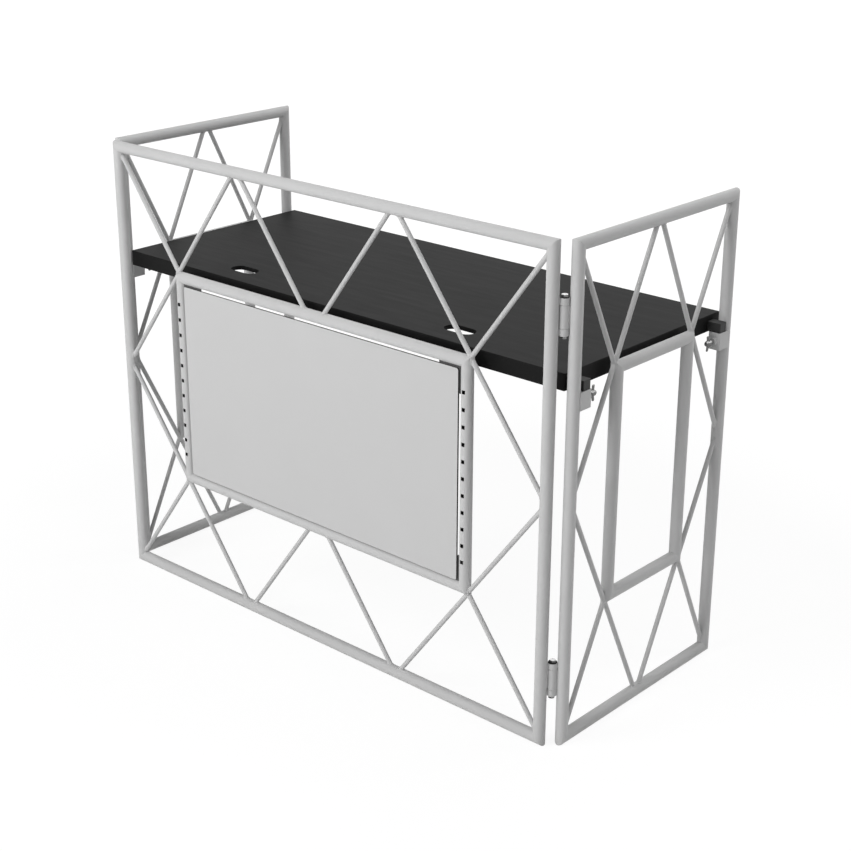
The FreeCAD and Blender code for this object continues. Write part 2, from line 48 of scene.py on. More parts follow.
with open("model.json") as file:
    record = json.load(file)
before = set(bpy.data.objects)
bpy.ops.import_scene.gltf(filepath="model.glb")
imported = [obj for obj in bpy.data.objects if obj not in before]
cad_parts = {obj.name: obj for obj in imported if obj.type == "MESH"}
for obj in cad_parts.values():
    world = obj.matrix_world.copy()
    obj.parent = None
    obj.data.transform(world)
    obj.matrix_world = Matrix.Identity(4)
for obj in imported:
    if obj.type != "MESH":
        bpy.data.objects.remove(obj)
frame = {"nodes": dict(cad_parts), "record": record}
nodes = frame["nodes"]
cad_low, cad_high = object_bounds()

MM = 0.001
SIDES = (("right", 1), ("left", -1))
TUBE_R = 14 * MM
ROD_R = 5.5 * MM

# Centre lines of the tube frames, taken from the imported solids
front_low, front_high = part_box("front_top_rail")
screen_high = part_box("screen_top_rail")[1]
wing_low, wing_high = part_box("right_top_rail")
window_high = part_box("right_window_top_rail")[1]
MID_Z = (cad_low.z + cad_high.z) / 2
FRAME_RISE = cad_high.z - TUBE_R - MID_Z
FRONT_Y = front_low.y + TUBE_R
FRONT_HALF = front_high.x - TUBE_R
SCREEN_HALF = screen_high.x - TUBE_R
SCREEN_RISE = screen_high.z - TUBE_R - MID_Z
WING_X = wing_high.x - TUBE_R
WING_Y = (wing_low.y + wing_high.y) / 2
WING_HALF = wing_high.y - TUBE_R - WING_Y
WINDOW_HALF = window_high.y - TUBE_R - WING_Y

# Where the lattice rods land, measured from a frame's middle or from its tubes' centre lines
FRONT_APEX = 252 * MM
APEX_HALF_GAP = 6.85 * MM
FRONT_MID_GAP = 23.7 * MM
WING_APEX_GAP = 5 * MM
BAND_FOOT_OUT = 9.5 * MM
CORNER_FOOT_OUT = 1 * MM
CORNER_HEAD_OUT = 3 * MM
SIDE_FOOT_OUT = 7.9 * MM
WING_CORNER_FOOT = 6.7 * MM
WING_SIDE_FOOT = 11 * MM
WING_SIDE_HEAD_IN = 2.8 * MM
FOOT_UP = 11 * MM
FOOT_RISE = SCREEN_RISE + FOOT_UP

# Lattice rods of one quarter of each frame, as (across, above the middle) at both ends
FRONT_RODS = [
    ((FRONT_MID_GAP, SCREEN_RISE), (FRONT_APEX - APEX_HALF_GAP, FRAME_RISE)),
    ((SCREEN_HALF + BAND_FOOT_OUT, FOOT_RISE), (FRONT_APEX + APEX_HALF_GAP, FRAME_RISE)),
    ((SCREEN_HALF + CORNER_FOOT_OUT, SCREEN_RISE), (FRONT_HALF + CORNER_HEAD_OUT, FRAME_RISE)),
    ((SCREEN_HALF + SIDE_FOOT_OUT, FOOT_RISE), (FRONT_HALF, 0.0)),
]
WING_RODS = [
    ((WINDOW_HALF + BAND_FOOT_OUT, FOOT_RISE), (WING_APEX_GAP, FRAME_RISE)),
    ((WINDOW_HALF + WING_CORNER_FOOT, SCREEN_RISE), (WING_HALF, FRAME_RISE)),
    ((WINDOW_HALF + WING_SIDE_FOOT, FOOT_RISE), (WING_HALF - WING_SIDE_HEAD_IN, 0.0)),
]

# Weld beads: full ones round the rod feet, slim ones up the hinges
BEAD_R = 1.7 * MM
SLIM_BEAD_R = 1.3 * MM
SPOTS_PER_RIPPLE = 4
BEAD_SIZES = {"Bead Radius": BEAD_R, "Ripple Pitch": 2.4 * MM, "Ripple Depth": 0.14}
SLIM_BEAD_SIZES = {**BEAD_SIZES, "Bead Radius": SLIM_BEAD_R}

# How far in from a tube's outer face the painted shade of the post bores begins, how far off the tubes
# the painted shade of the plates begins, and how far from the middle the post holes reach
SHADE_MARGIN = 0.4 * MM
HOLES_RISE = 210 * MM

# Plates behind the panel, measured along its edges from its corners
PLATE_LEG = 58 * MM
PLATE_SOFT = 0.3 * MM

# Hinge lines and their barrels
HINGE_X = (FRONT_HALF + WING_X) / 2
HINGE_Y = (FRONT_Y + WING_Y - WING_HALF) / 2
BARREL_RISE = 412.7 * MM
BARREL_HALF = 40 * MM
BARREL_R = 10.25 * MM
SLEEVE_HALF = 24.5 * MM
KNUCKLE_FOOT = 25 * MM
VALLEY_OFF = 3.4 * MM

# Hinge bolts, nuts and washers
BOLT_R = 4 * MM
BOLT_TAIL = 2 * MM
BOLT_THREAD = 22 * MM
SHANK_LAP = 0.2 * MM
SHANK_STEPS = 24
THREAD_PITCH = 1.25 * MM
THREAD_DEPTH = 0.65 * MM
THREAD_LEAD = 1.2 * MM
THREAD_TIP_SHARE = 0.7
THREAD_ROWS_PER_PITCH = 6
HEX_STEPS = 48
HEX_FLATS = 13 * MM
CHAMFER_R = HEX_FLATS / 2 * 0.96
CHAMFER_TILT = math.radians(30)
CROWN_R = HEX_FLATS / 2 * 0.92
DISH_R = HEX_FLATS / 2 * 0.80
DISH_DEPTH = 0.15 * MM
HEAD_HEIGHT = 5.3 * MM
NUT_HEIGHT = 6.5 * MM
NUT_BORE_R = BOLT_R + 0.05 * MM
NUT_LEAD = 0.6 * MM
WASHER_R = 10 * MM
WASHER_THICK = 1.6 * MM
WASHER_BORE_R = BOLT_R + 0.2 * MM
WASHER_BORE_SOFT = 0.2 * MM
WASHER_SOFT = 0.5 * MM
WASHER_EASE = 0.15 * WASHER_SOFT

# Wing screws, measured along their axis from the middle of the upright
SCREW_TIP = 16 * MM
SCREW_NECK = 55 * MM
SCREW_END = 74 * MM
SCREW_LAP = 1 * MM
HUB_R = 7.5 * MM
HUB_STEPS = 32
HUB_OUTLINE = [
    (0, SCREW_NECK),
    (HUB_R * 0.80, SCREW_NECK),
    (HUB_R * 0.92, SCREW_NECK + 1 * MM),
    (HUB_R, SCREW_NECK + 3 * MM),
    (HUB_R * 0.88, SCREW_END - 5 * MM),
    (HUB_R * 0.62, SCREW_END - 1 * MM),
    (HUB_R * 0.40, SCREW_END),
    (0, SCREW_END),
]

# Ears of a wing screw, from a root inside the hub to the tip, leaning to the screw's end and thinning
EAR_ROOT = 1 * MM
EAR_TIP = 19 * MM
EAR_LEVEL = SCREW_NECK + 9.5 * MM
EAR_LEAN = 3 * MM
EAR_WIDTH = 4.4 * MM
EAR_WAIST = 0.6 * MM
EAR_THICK = 2.6 * MM
EAR_THINNING = 0.6 * MM
EAR_ROUND_FROM = 0.78
EAR_ROUND_SPAN = 0.22
EAR_TIP_SHARE = 0.03
MELT_SIZE = 0.45 * MM
MELT_SOFTENING = 6


class Value:
    """One output of a node; arithmetic on it adds Math nodes to the same tree."""

    def __init__(self, tree, socket):
        self.tree = tree
        self.socket = socket

    def out(self, name):
        """Another output of the same node."""
        return Value(self.tree, self.socket.node.outputs[name])

    def math(self, operation, first, second=0.0):
        return self.tree.node("ShaderNodeMath", {"operation": operation}, {0: first, 1: second})

    def __add__(self, other):
        return self.math("ADD", self, other)

    def __sub__(self, other):
        return self.math("SUBTRACT", self, other)

    def __rsub__(self, other):
        return self.math("SUBTRACT", other, self)

    def __mul__(self, other):
        return self.math("MULTIPLY", self, other)

    def __truediv__(self, other):
        return self.math("DIVIDE", self, other)

    def __rtruediv__(self, other):
        return self.math("DIVIDE", other, self)

    def __pow__(self, other):
        return self.math("POWER", self, other)

    def __rpow__(self, other):
        return self.math("POWER", other, self)

    def __lt__(self, other):
        return self.math("LESS_THAN", self, other)

    def __gt__(self, other):
        return self.math("GREATER_THAN", self, other)

    def __abs__(self):
        return self.math("ABSOLUTE", self)

    def sine(self):
        return self.math("SINE", self)

    def largest(self, other):
        return self.math("MAXIMUM", self, other)

    __radd__ = __add__
    __rmul__ = __mul__


def distance(first, second):
    return (first * first + second * second) ** 0.5


class Tree:
    """A node tree that is filled one node at a time."""

    def __init__(self, tree):
        self.tree = tree
        self.tree.nodes.clear()

    def node(self, kind, settings, sockets):
        """Add a node with its settings, then its values or links, and give its first output."""
        made = self.tree.nodes.new(kind)
        for key, value in settings.items():
            if key == "stops":
                self.set_ramp(made.color_ramp, value)
            else:
                setattr(made, key, value)
        for key, value in sockets.items():
            target = made.inputs[key]
            if isinstance(key, str):
                target = next(s for s in made.inputs if s.enabled and s.name == key)
            if isinstance(value, Value):
                self.tree.links.new(value.socket, target)
            else:
                target.default_value = value
        enabled = [s for s in made.outputs if s.enabled]
        return Value(self, enabled[0]) if enabled else None

    @staticmethod
    def set_ramp(ramp, stops):
        while len(ramp.elements) < len(stops):
            ramp.elements.new(1.0)
        for element, (position, level) in zip(ramp.elements, stops):
            element.position = position
            element.color = (level, level, level, 1.0)

    def seen(self):
        """One for rays that show the backdrop, directly or in metal, and zero for rays that light."""
        rays = self.node("ShaderNodeLightPath", {}, {})
        shown = rays.out("Is Camera Ray")
        for kind in ("Is Glossy Ray", "Is Transmission Ray"):
            shown = shown.largest(rays.out(kind))
        return shown


class Finish(Tree):
    """A material, with short names for the nodes that the booth's finishes use."""

    def __init__(self, name):
        self.material = bpy.data.materials.new(name)
        self.material.use_nodes = True
        super().__init__(self.material.node_tree)

    def place(self):
        return self.node("ShaderNodeTexCoord", {}, {}).out("Object")

    def facing(self):
        return self.node("ShaderNodeNewGeometry", {}, {}).out("Normal")

    def axes(self, vector):
        x = self.node("ShaderNodeSeparateXYZ", {}, {"Vector": vector})
        return x, x.out("Y"), x.out("Z")

    def stretched(self, place, scale):
        return self.node("ShaderNodeMapping", {}, {"Vector": place, "Scale": scale})

    def noise(self, place, size, detail):
        sockets = {"Vector": place, "Scale": 1 / size, "Detail": detail}
        return self.node("ShaderNodeTexNoise", {}, sockets)

    def ramp(self, value, *stops):
        return self.node("ShaderNodeValToRGB", {"stops": stops}, {"Fac": value})

    def blend(self, factor, first, second):
        sockets = {"Factor": factor, "A": first, "B": second}
        return self.node("ShaderNodeMix", {"data_type": "RGBA"}, sockets)

    def bump(self, height, depth, strength, under=None):
        sockets = {"Height": height, "Distance": depth, "Strength": strength}
        if under is not None:
            sockets["Normal"] = under
        return self.node("ShaderNodeBump", {}, sockets)

    def surface(self, **sockets):
        named = {key.replace("_", " "): value for key, value in sockets.items()}
        shader = self.node("ShaderNodeBsdfPrincipled", {}, named)
        self.node("ShaderNodeOutputMaterial", {}, {"Surface": shader})
        return self.material


def grey(level, warm=0.0):
    return (level * (1 + warm), level, level * (1 - warm), 1.0)


def silver_coat():
    """Satin silver-grey coat, with painted shade: dark inside the drilled posts and on the plates behind
    the panel.
    """
    finish = Finish("silver_coat")
    place = finish.place()
    x, y, z = finish.axes(place)
    across = abs(x) - SCREEN_HALF
    depth = y - FRONT_Y
    off_middle = abs(z - MID_Z)
    above = off_middle - SCREEN_RISE
    from_post = distance(across, depth)
    from_rail = distance(above, depth)
    # Painted shade mask: the bores of the drilled posts, within the band of the holes
    bore_shade_mask = (from_post < TUBE_R - SHADE_MARGIN) * (off_middle < HOLES_RISE)
    off_tubes = (from_post > TUBE_R + SHADE_MARGIN) * (from_rail > TUBE_R + SHADE_MARGIN)
    # Painted shade mask: the plates in the panel opening, off the tubes
    plate_shade_mask = (across < 0.0) * (above < 0.0) * off_tubes
    peel = finish.noise(place, 1.6 * MM, 1.0)
    grain = finish.noise(place, 0.35 * MM, 1.0)
    mottle = finish.noise(place, 60 * MM, 4.0)
    streaks = finish.noise(finish.stretched(place, (1.0, 1.0, 0.25)), 9 * MM, 5.0)
    rubs = finish.ramp(streaks, (0.62, 0.0), (0.74, 1.0))
    floor_dust = finish.ramp(z, (0.0, 1.0), (0.03, 0.0))
    base = finish.blend(mottle, grey(0.60), grey(0.65))
    flecked = finish.blend(grain * 0.16, base, grey(0.72))
    rubbed = finish.blend(rubs * 0.10, flecked, grey(0.46))
    dusty = finish.blend(floor_dust * mottle * 0.35, rubbed, grey(0.40, 0.03))
    # Painted shade: near-black in the post bores
    painted_bore_shade = finish.blend(mottle, grey(0.03), grey(0.06))
    # Painted shade: dark grey on the plates behind the panel
    painted_plate_shade = finish.blend(mottle, grey(0.09), grey(0.14))
    colour = finish.blend(plate_shade_mask, finish.blend(bore_shade_mask, dusty, painted_bore_shade), painted_plate_shade)
    relief = finish.bump(peel, 0.05 * MM, 0.35, finish.bump(grain, 0.015 * MM, 0.3))
    return finish.surface(Base_Color=colour, Roughness=0.40 + mottle * 0.10 + rubs * 0.08, Normal=relief,
                          Specular_IOR_Level=0.08)


def panel_sheet():
    """Matt grey face sheet with a dark core showing at its cut edges."""
    finish = Finish("panel_sheet")
    place = finish.place()
    to_front = abs(finish.axes(finish.facing())[1])
    cut_edge = 1 - finish.ramp(to_front, (0.3, 0.0), (0.7, 1.0))
    weave = finish.noise(place, 0.5 * MM, 2.0)
    cloud = finish.noise(place, 170 * MM, 3.0)
    wipe = finish.noise(finish.stretched(place, (1.0, 1.0, 0.08)), 18 * MM, 4.0)
    face = finish.blend(cloud, grey(0.632), grey(0.648))
    speckled = finish.blend(weave * 0.06, face, grey(0.52))
    colour = finish.blend(cut_edge, speckled, grey(0.035))
    relief = finish.bump(weave, 0.012 * MM, 0.4)
    return finish.surface(Base_Color=colour, Roughness=0.56 + wipe * 0.10, Normal=relief,
                          Specular_IOR_Level=0.08)


def black_laminate():
    """Low-gloss black laminate with a fine pebble and faint wipe marks."""
    finish = Finish("black_laminate")
    place = finish.place()
    pebble = finish.node("ShaderNodeTexVoronoi", {"feature": "SMOOTH_F1"},
                         {"Vector": place, "Scale": 1 / (1.1 * MM)})
    cloud = finish.noise(place, 220 * MM, 4.0)
    wipe = finish.noise(finish.stretched(place, (0.12, 1.0, 1.0)), 14 * MM, 5.0)
    lint = finish.ramp(finish.noise(place, 2.2 * MM, 2.0), (0.70, 0.0), (0.78, 1.0))
    base = finish.blend(cloud, grey(0.005), grey(0.008))
    colour = finish.blend(lint * 0.08, base, grey(0.06))
    relief = finish.bump(pebble, 0.06 * MM, 0.35)
    return finish.surface(Base_Color=colour, Roughness=0.46 + wipe * 0.12 + cloud * 0.05, Normal=relief,
                          Specular_IOR_Level=0.093)


def black_moulding(name, level, grain_size, roughness):
    """Moulded black with a fine spark texture, for the lugs and the washers."""
    finish = Finish(name)
    place = finish.place()
    grain = finish.noise(place, grain_size, 3.0)
    scuff = finish.ramp(finish.noise(place, 12 * MM, 6.0), (0.56, 0.0), (0.70, 1.0))
    base = finish.blend(grain, grey(level * 0.8), grey(level * 1.2))
    colour = finish.blend(scuff * 0.25, base, grey(level * 3))
    relief = finish.bump(grain, 0.05 * MM, 0.4)
    return finish.surface(Base_Color=colour, Roughness=roughness + grain * 0.12, Normal=relief,
                          Specular_IOR_Level=0.35)


def plated_steel(name, level, grain_size, roughness, shaded_side_level):
    """Zinc-plated steel with painted light: lighter where it faces up, painted shade where it faces
    sideways or down.
    """
    finish = Finish(name)
    place = finish.place()
    # Painted light and shade: faces turned up get the lighter colour, the rest the darker one
    upward = finish.axes(finish.facing())[2]
    top = finish.ramp(upward, (0.55, 0.0), (0.85, 1.0))
    spangle = finish.noise(place, grain_size, 4.0)
    stain = finish.ramp(finish.noise(place, 5 * MM, 5.0), (0.45, 0.0), (0.75, 1.0))
    painted_lit_top = finish.blend(spangle, grey(level * 0.92), grey(level * 1.06))
    painted_shaded_side = finish.blend(spangle, grey(shaded_side_level * 0.8), grey(shaded_side_level * 1.2))
    colour = finish.blend(stain * 0.3, finish.blend(top, painted_shaded_side, painted_lit_top), grey(shaded_side_level * 0.6))
    relief = finish.bump(spangle, 0.03 * MM, 0.3)
    return finish.surface(Base_Color=colour, Metallic=1.0, Roughness=roughness + stain * 0.12,
                          Normal=relief)


SILVER = silver_coat()
PANEL = panel_sheet()
LAMINATE = black_laminate()
LUG_BLACK = black_moulding("lug_black", 0.018, 0.5 * MM, 0.50)
WASHER_BLACK = black_moulding("washer_black", 0.015, 0.4 * MM, 0.55)
# Steel levels: the first number is the painted lit top, the last the painted shaded side
BOLT_STEEL = plated_steel("bolt_steel", 0.88, 0.6 * MM, 0.22, 0.20)
SCREW_STEEL = plated_steel("screw_steel", 0.55, 0.9 * MM, 0.30, 0.14)

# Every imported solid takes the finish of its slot
SLOT_FINISH = {
    "silver_paint": SILVER,
    "panel_grey": PANEL,
    "zinc_steel": BOLT_STEEL,
    "black_washer": WASHER_BLACK,
    "black_laminate": LAMINATE,
    "black_lug": LUG_BLACK,
    "cast_screw": SCREW_STEEL,
}
for part in frame["record"]["subparts"]:
    mesh = nodes[part["node"]].data
    mesh.materials.clear()
    mesh.materials.append(SLOT_FINISH[part["material_slot"]])


class Recipe(Tree):
    """A Geometry Nodes tree with named size inputs, ending in real, coloured mesh."""

    def __init__(self, name, sizes):
        super().__init__(bpy.data.node_groups.new(name, "GeometryNodeTree"))
        self.add_socket("Geometry", "INPUT", "NodeSocketGeometry")
        for size in sizes:
            self.add_socket(size, "INPUT", "NodeSocketFloat")
        self.add_socket("Finish", "INPUT", "NodeSocketMaterial")
        self.add_socket("Geometry", "OUTPUT", "NodeSocketGeometry")
        self.given = self.node("NodeGroupInput", {}, {})

    def add_socket(self, name, way, kind):
        self.tree.interface.new_socket(name=name, in_out=way, socket_type=kind)

    def end(self, geometry):
        real = self.node("GeometryNodeRealizeInstances", {}, {"Geometry": geometry})
        sockets = {"Geometry": real, "Material": self.given.out("Finish")}
        painted = self.node("GeometryNodeSetMaterial", {}, sockets)
        self.node("NodeGroupOutput", {}, {0: painted})

    def make(self, name, mesh, finish, sizes):
        """Run the tree on a mesh and return the result as a plain object."""
        source = bpy.data.objects.new(name + "_source", mesh)
        bpy.context.collection.objects.link(source)
        modifier = source.modifiers.new("recipe", "NODES")
        modifier.node_group = self.tree
        inputs = {**sizes, "Finish": finish}
        for item in self.tree.interface.items_tree:
            if item.in_out == "INPUT" and item.name in inputs:
                modifier[item.identifier] = inputs[item.name]
        made = evaluated_mesh(source, name)
        bpy.data.objects.remove(source)
        return add_piece(name, made)


def evaluated_mesh(source, name):
    """What an object's modifiers make of it, as a mesh of its own."""
    graph = bpy.context.evaluated_depsgraph_get()
    mesh = bpy.data.meshes.new_from_object(source.evaluated_get(graph), depsgraph=graph)
    mesh.name = name
    return mesh


def add_piece(name, mesh, finish=None):
    """Put a mesh in the scene, in the given finish or in what it already has."""
    piece = bpy.data.objects.new(name, mesh)
    bpy.context.collection.objects.link(piece)
    if finish is not None:
        mesh.materials.clear()
        mesh.materials.append(finish)
    return piece


def weld_run_recipe():
    """A rippled bead laid along every line of the input."""
    recipe = Recipe("weld_run", ["Bead Radius", "Ripple Pitch", "Ripple Depth"])
    given = recipe.given
    pitch = given.out("Ripple Pitch")
    line = recipe.node("GeometryNodeMeshToCurve", {}, {"Mesh": given})
    even = recipe.node("GeometryNodeResampleCurve", {"mode": "LENGTH"},
                       {"Curve": line, "Length": pitch / SPOTS_PER_RIPPLE})
    along = recipe.node("GeometryNodeSplineParameter", {}, {}).out("Length")
    swell = 1 + given.out("Ripple Depth") * (along / pitch * math.tau).sine()
    swollen = recipe.node("GeometryNodeSetCurveRadius", {}, {"Curve": even, "Radius": swell})
    section = recipe.node("GeometryNodeCurvePrimitiveCircle", {},
                          {"Resolution": 8, "Radius": given.out("Bead Radius")})
    bead = recipe.node("GeometryNodeCurveToMesh", {},
                       {"Curve": swollen, "Profile Curve": section, "Fill Caps": True})
    smooth = recipe.node("GeometryNodeSetShadeSmooth", {}, {"Geometry": bead})
    recipe.end(smooth)
    return recipe


def four_corner_recipe():
    """The input piece set at the corners of an upright rectangle."""
    recipe = Recipe("four_corners", ["Width", "Height", "Depth Place", "Middle Height"])
    given = recipe.given
    corners = recipe.node("GeometryNodeMeshGrid", {}, {
        "Size X": given.out("Width"), "Size Y": given.out("Height"), "Vertices X": 2, "Vertices Y": 2})
    spot = recipe.node("ShaderNodeCombineXYZ", {}, {
        "X": 0.0, "Y": given.out("Depth Place"), "Z": given.out("Middle Height")})
    upright = recipe.node("GeometryNodeTransform", {}, {
        "Geometry": corners, "Translation": spot, "Rotation": (math.pi / 2, 0.0, 0.0)})
    placed = recipe.node("GeometryNodeInstanceOnPoints", {}, {"Points": upright, "Instance": given})
    recipe.end(placed)
    return recipe


WELD_RUN = weld_run_recipe()
FOUR_CORNERS = four_corner_recipe()


def rod_foot_loops(rods, rings, turns=28, steps=2400):
    """Closed lines where each rod leaves the mitred tubes, as (across, depth, above the middle)."""
    loops = []
    angle = np.linspace(0, math.tau, turns, endpoint=False)
    for first, second in rods:
        start = np.array(first)
        run = np.array(second) - start
        length = float(np.hypot(*run))
        heading = run / length
        side = np.array([heading[1], -heading[0]])
        reach = np.linspace(0, length, steps)
        ring = start + ROD_R * np.cos(angle)[:, None] * side
        depth = ROD_R * np.sin(angle)
        spots = ring[:, None, :] + reach[None, :, None] * heading
        buried = np.zeros(spots.shape[:2], bool)
        for half, rise in rings:
            outside = np.maximum(np.abs(spots[..., 0]) - half, np.abs(spots[..., 1]) - rise)
            buried |= np.hypot(outside, depth[:, None]) <= TUBE_R
        early = reach < length / 2
        leaves = np.max(np.where(buried & early, reach, 0), axis=1)
        arrives = np.min(np.where(buried & ~early, reach, length), axis=1)
        for crossing in (leaves, arrives):
            spot = ring + crossing[:, None] * heading
            loops.append(np.column_stack([spot[:, 0], depth, spot[:, 1]]))
    return loops


def all_quarters(loops):
    return [loop * (across, 1, up) for loop in loops for across in (1, -1) for up in (1, -1)]


def line_mesh(name, loops, closed):
    """Each list of points as a line of edges, back to its start if it is closed."""
    mesh = bpy.data.meshes.new(name)
    points = []
    edges = []
    for loop in loops:
        base = len(points)
        count = len(loop)
        points.extend([tuple(p) for p in loop])
        edges.extend((base + i, base + (i + 1) % count) for i in range(count if closed else count - 1))
    mesh.from_pydata(points, edges, [])
    return mesh


def weld_piece(name, loops, body, closed=True):
    """Full beads on closed lines, or slim ones on open lines, that ride with a body."""
    sizes = BEAD_SIZES if closed else SLIM_BEAD_SIZES
    piece = WELD_RUN.make(name, line_mesh(name + "_lines", loops, closed), SILVER, sizes)
    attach(piece, body)


def lattice_welds():
    """A bead round both feet of every lattice rod."""
    front_rings = [(FRONT_HALF, FRAME_RISE), (SCREEN_HALF, SCREEN_RISE)]
    front = all_quarters(rod_foot_loops(FRONT_RODS, front_rings))
    weld_piece("front_lattice_welds", [loop + (0, FRONT_Y, MID_Z) for loop in front], "front_frame")
    wing_rings = [(WING_HALF, FRAME_RISE), (WINDOW_HALF, SCREEN_RISE)]
    wing = all_quarters(rod_foot_loops(WING_RODS, wing_rings))
    for side, sign in SIDES:
        turned = [loop[:, [1, 0, 2]] + (sign * WING_X, WING_Y, MID_Z) for loop in wing]
        weld_piece(side + "_lattice_welds", turned, side + "_wing")


def hinge_beads(sign, tube, spans):
    """Upright lines in the valleys between one side's barrels and the tube at (across, depth)."""
    axis = Vector((sign * HINGE_X, HINGE_Y))
    reach = Vector(tube) - axis
    toward = reach.normalized()
    past = Vector((-toward.y, toward.x)) * VALLEY_OFF
    middle = axis + toward * (BARREL_R + (reach.length - BARREL_R - TUBE_R) / 2)
    lines = []
    for valley in (middle + past, middle - past):
        for level in (MID_Z - BARREL_RISE, MID_Z + BARREL_RISE):
            for low, high in spans:
                lines.append([(*valley, level + low), (*valley, level + high)])
    return lines


def hinge_welds():
    """Beads that hold the knuckles to the front frame and the sleeves to the wings."""
    sleeve_end = SLEEVE_HALF - SLIM_BEAD_R
    knuckle_start = KNUCKLE_FOOT + SLIM_BEAD_R
    knuckle_end = BARREL_HALF - SLIM_BEAD_R
    sleeve = [(-sleeve_end, sleeve_end)]
    knuckles = [(-knuckle_end, -knuckle_start), (knuckle_start, knuckle_end)]
    fixed = []
    for side, sign in SIDES:
        fixed += hinge_beads(sign, (sign * FRONT_HALF, FRONT_Y), knuckles)
        swinging = hinge_beads(sign, (sign * WING_X, WING_Y - WING_HALF), sleeve)
        weld_piece(side + "_hinge_welds", swinging, side + "_wing", closed=False)
    weld_piece("front_hinge_welds", fixed, "front_frame", closed=False)


def on_circle(radius, angle, height):
    return (radius * math.cos(angle), radius * math.sin(angle), height)


def round_ring(bm, radius, height, count=HEX_STEPS):
    """Points round the Z axis, or a single point where the radius is zero."""
    if radius == 0:
        return [bm.verts.new((0, 0, height))]
    return [bm.verts.new(on_circle(radius, math.tau * i / count, height)) for i in range(count)]


def hex_ring(bm, height, drop):
    """Hexagon with chamfered corners: drop is 1 for a top face, -1 for a bottom one and 0 for none."""
    ring = []
    for i in range(HEX_STEPS):
        angle = math.tau * i / HEX_STEPS
        off_flat = (angle % (math.tau / 6)) - math.tau / 12
        reach = HEX_FLATS / 2 / math.cos(off_flat)
        fall = max(0.0, reach - CHAMFER_R) * math.tan(CHAMFER_TILT) * drop
        ring.append(bm.verts.new(on_circle(reach, angle, height - fall)))
    return ring


def join_rings(bm, rings, loop=False):
    """Faces from each ring of points to the next, drawn together where a ring is one point."""
    following = rings[1:] + (rings[:1] if loop else [])
    for low, high in zip(rings, following):
        count = max(len(low), len(high))
        for i in range(count):
            j = (i + 1) % count
            corners = (low[i % len(low)], low[j % len(low)], high[j % len(high)], high[i % len(high)])
            bm.faces.new(list(dict.fromkeys(corners)))


def revolve(bm, outline, turns):
    """Skin of revolution about Z from (radius, height) points."""
    join_rings(bm, [round_ring(bm, radius, height, turns) for radius, height in outline])


def threaded_shank(bm, bottom, top):
    """Screw thread cut into a round shank standing on Z, with a turned-down end at the bottom."""
    rows = []
    count = int((top - bottom) / THREAD_PITCH * THREAD_ROWS_PER_PITCH)
    for row in range(count + 1):
        height = bottom + (top - bottom) * row / count
        taper = min(1.0, (height - bottom) / THREAD_LEAD)
        turned_r = BOLT_R * (THREAD_TIP_SHARE + (1 - THREAD_TIP_SHARE) * taper)
        ring = []
        for i in range(SHANK_STEPS):
            phase = ((height - bottom) / THREAD_PITCH - i / SHANK_STEPS) % 1.0
            groove = THREAD_DEPTH * abs(2 * phase - 1)
            reach = min(BOLT_R - groove, turned_r)
            ring.append(bm.verts.new(on_circle(reach, math.tau * i / SHANK_STEPS, height)))
        rows.append(ring)
    join_rings(bm, rows)
    bm.faces.new(list(reversed(rows[0])))
    bm.faces.new(rows[-1])


def finished_mesh(bm, name, smooth_angle=35):
    """Turn the faces outwards, shade them smooth up to an angle and keep the result as a mesh."""
    bmesh.ops.recalc_face_normals(bm, faces=bm.faces)
    for face in bm.faces:
        face.smooth = True
    sharp = math.radians(smooth_angle)
    for edge in bm.edges:
        edge.smooth = len(edge.link_faces) == 2 and edge.calc_face_angle(0.0) < sharp
    mesh = bpy.data.meshes.new(name)
    bm.to_mesh(mesh)
    bm.free()
    return mesh


def bolt_mesh():
    """Hex bolt hanging from the underside of its head at z = 0."""
    bm = bmesh.new()
    bottom = hex_ring(bm, 0.0, 0)
    rim = hex_ring(bm, HEAD_HEIGHT, 1)
    crown = round_ring(bm, CROWN_R, HEAD_HEIGHT)
    dish = round_ring(bm, DISH_R, HEAD_HEIGHT - DISH_DEPTH)
    join_rings(bm, [bottom, rim, crown, dish])
    bm.faces.new(dish)
    bm.faces.new(list(reversed(bottom)))
    end = -(WASHER_THICK + 2 * BARREL_HALF + NUT_HEIGHT + BOLT_TAIL)
    plain_end = end + BOLT_THREAD
    low = plain_end - SHANK_LAP
    revolve(bm, [(0, low), (BOLT_R, low), (BOLT_R, SHANK_LAP), (0, SHANK_LAP)], SHANK_STEPS)
    threaded_shank(bm, end, plain_end)
    return finished_mesh(bm, "hinge_bolt")


def nut_mesh():
    """Hex nut with both faces chamfered, its top face at z = 0."""
    bm = bmesh.new()
    top = hex_ring(bm, 0.0, 1)
    bottom = hex_ring(bm, -NUT_HEIGHT, -1)
    bore_rim = NUT_BORE_R + NUT_LEAD
    inside = [
        (CROWN_R, 0.0),
        (bore_rim, 0.0),
        (NUT_BORE_R, -NUT_LEAD),
        (NUT_BORE_R, NUT_LEAD - NUT_HEIGHT),
        (bore_rim, -NUT_HEIGHT),
        (CROWN_R, -NUT_HEIGHT),
    ]
    rings = [bottom, top] + [round_ring(bm, radius, height) for radius, height in inside]
    join_rings(bm, rings, loop=True)
    return finished_mesh(bm, "hinge_nut")


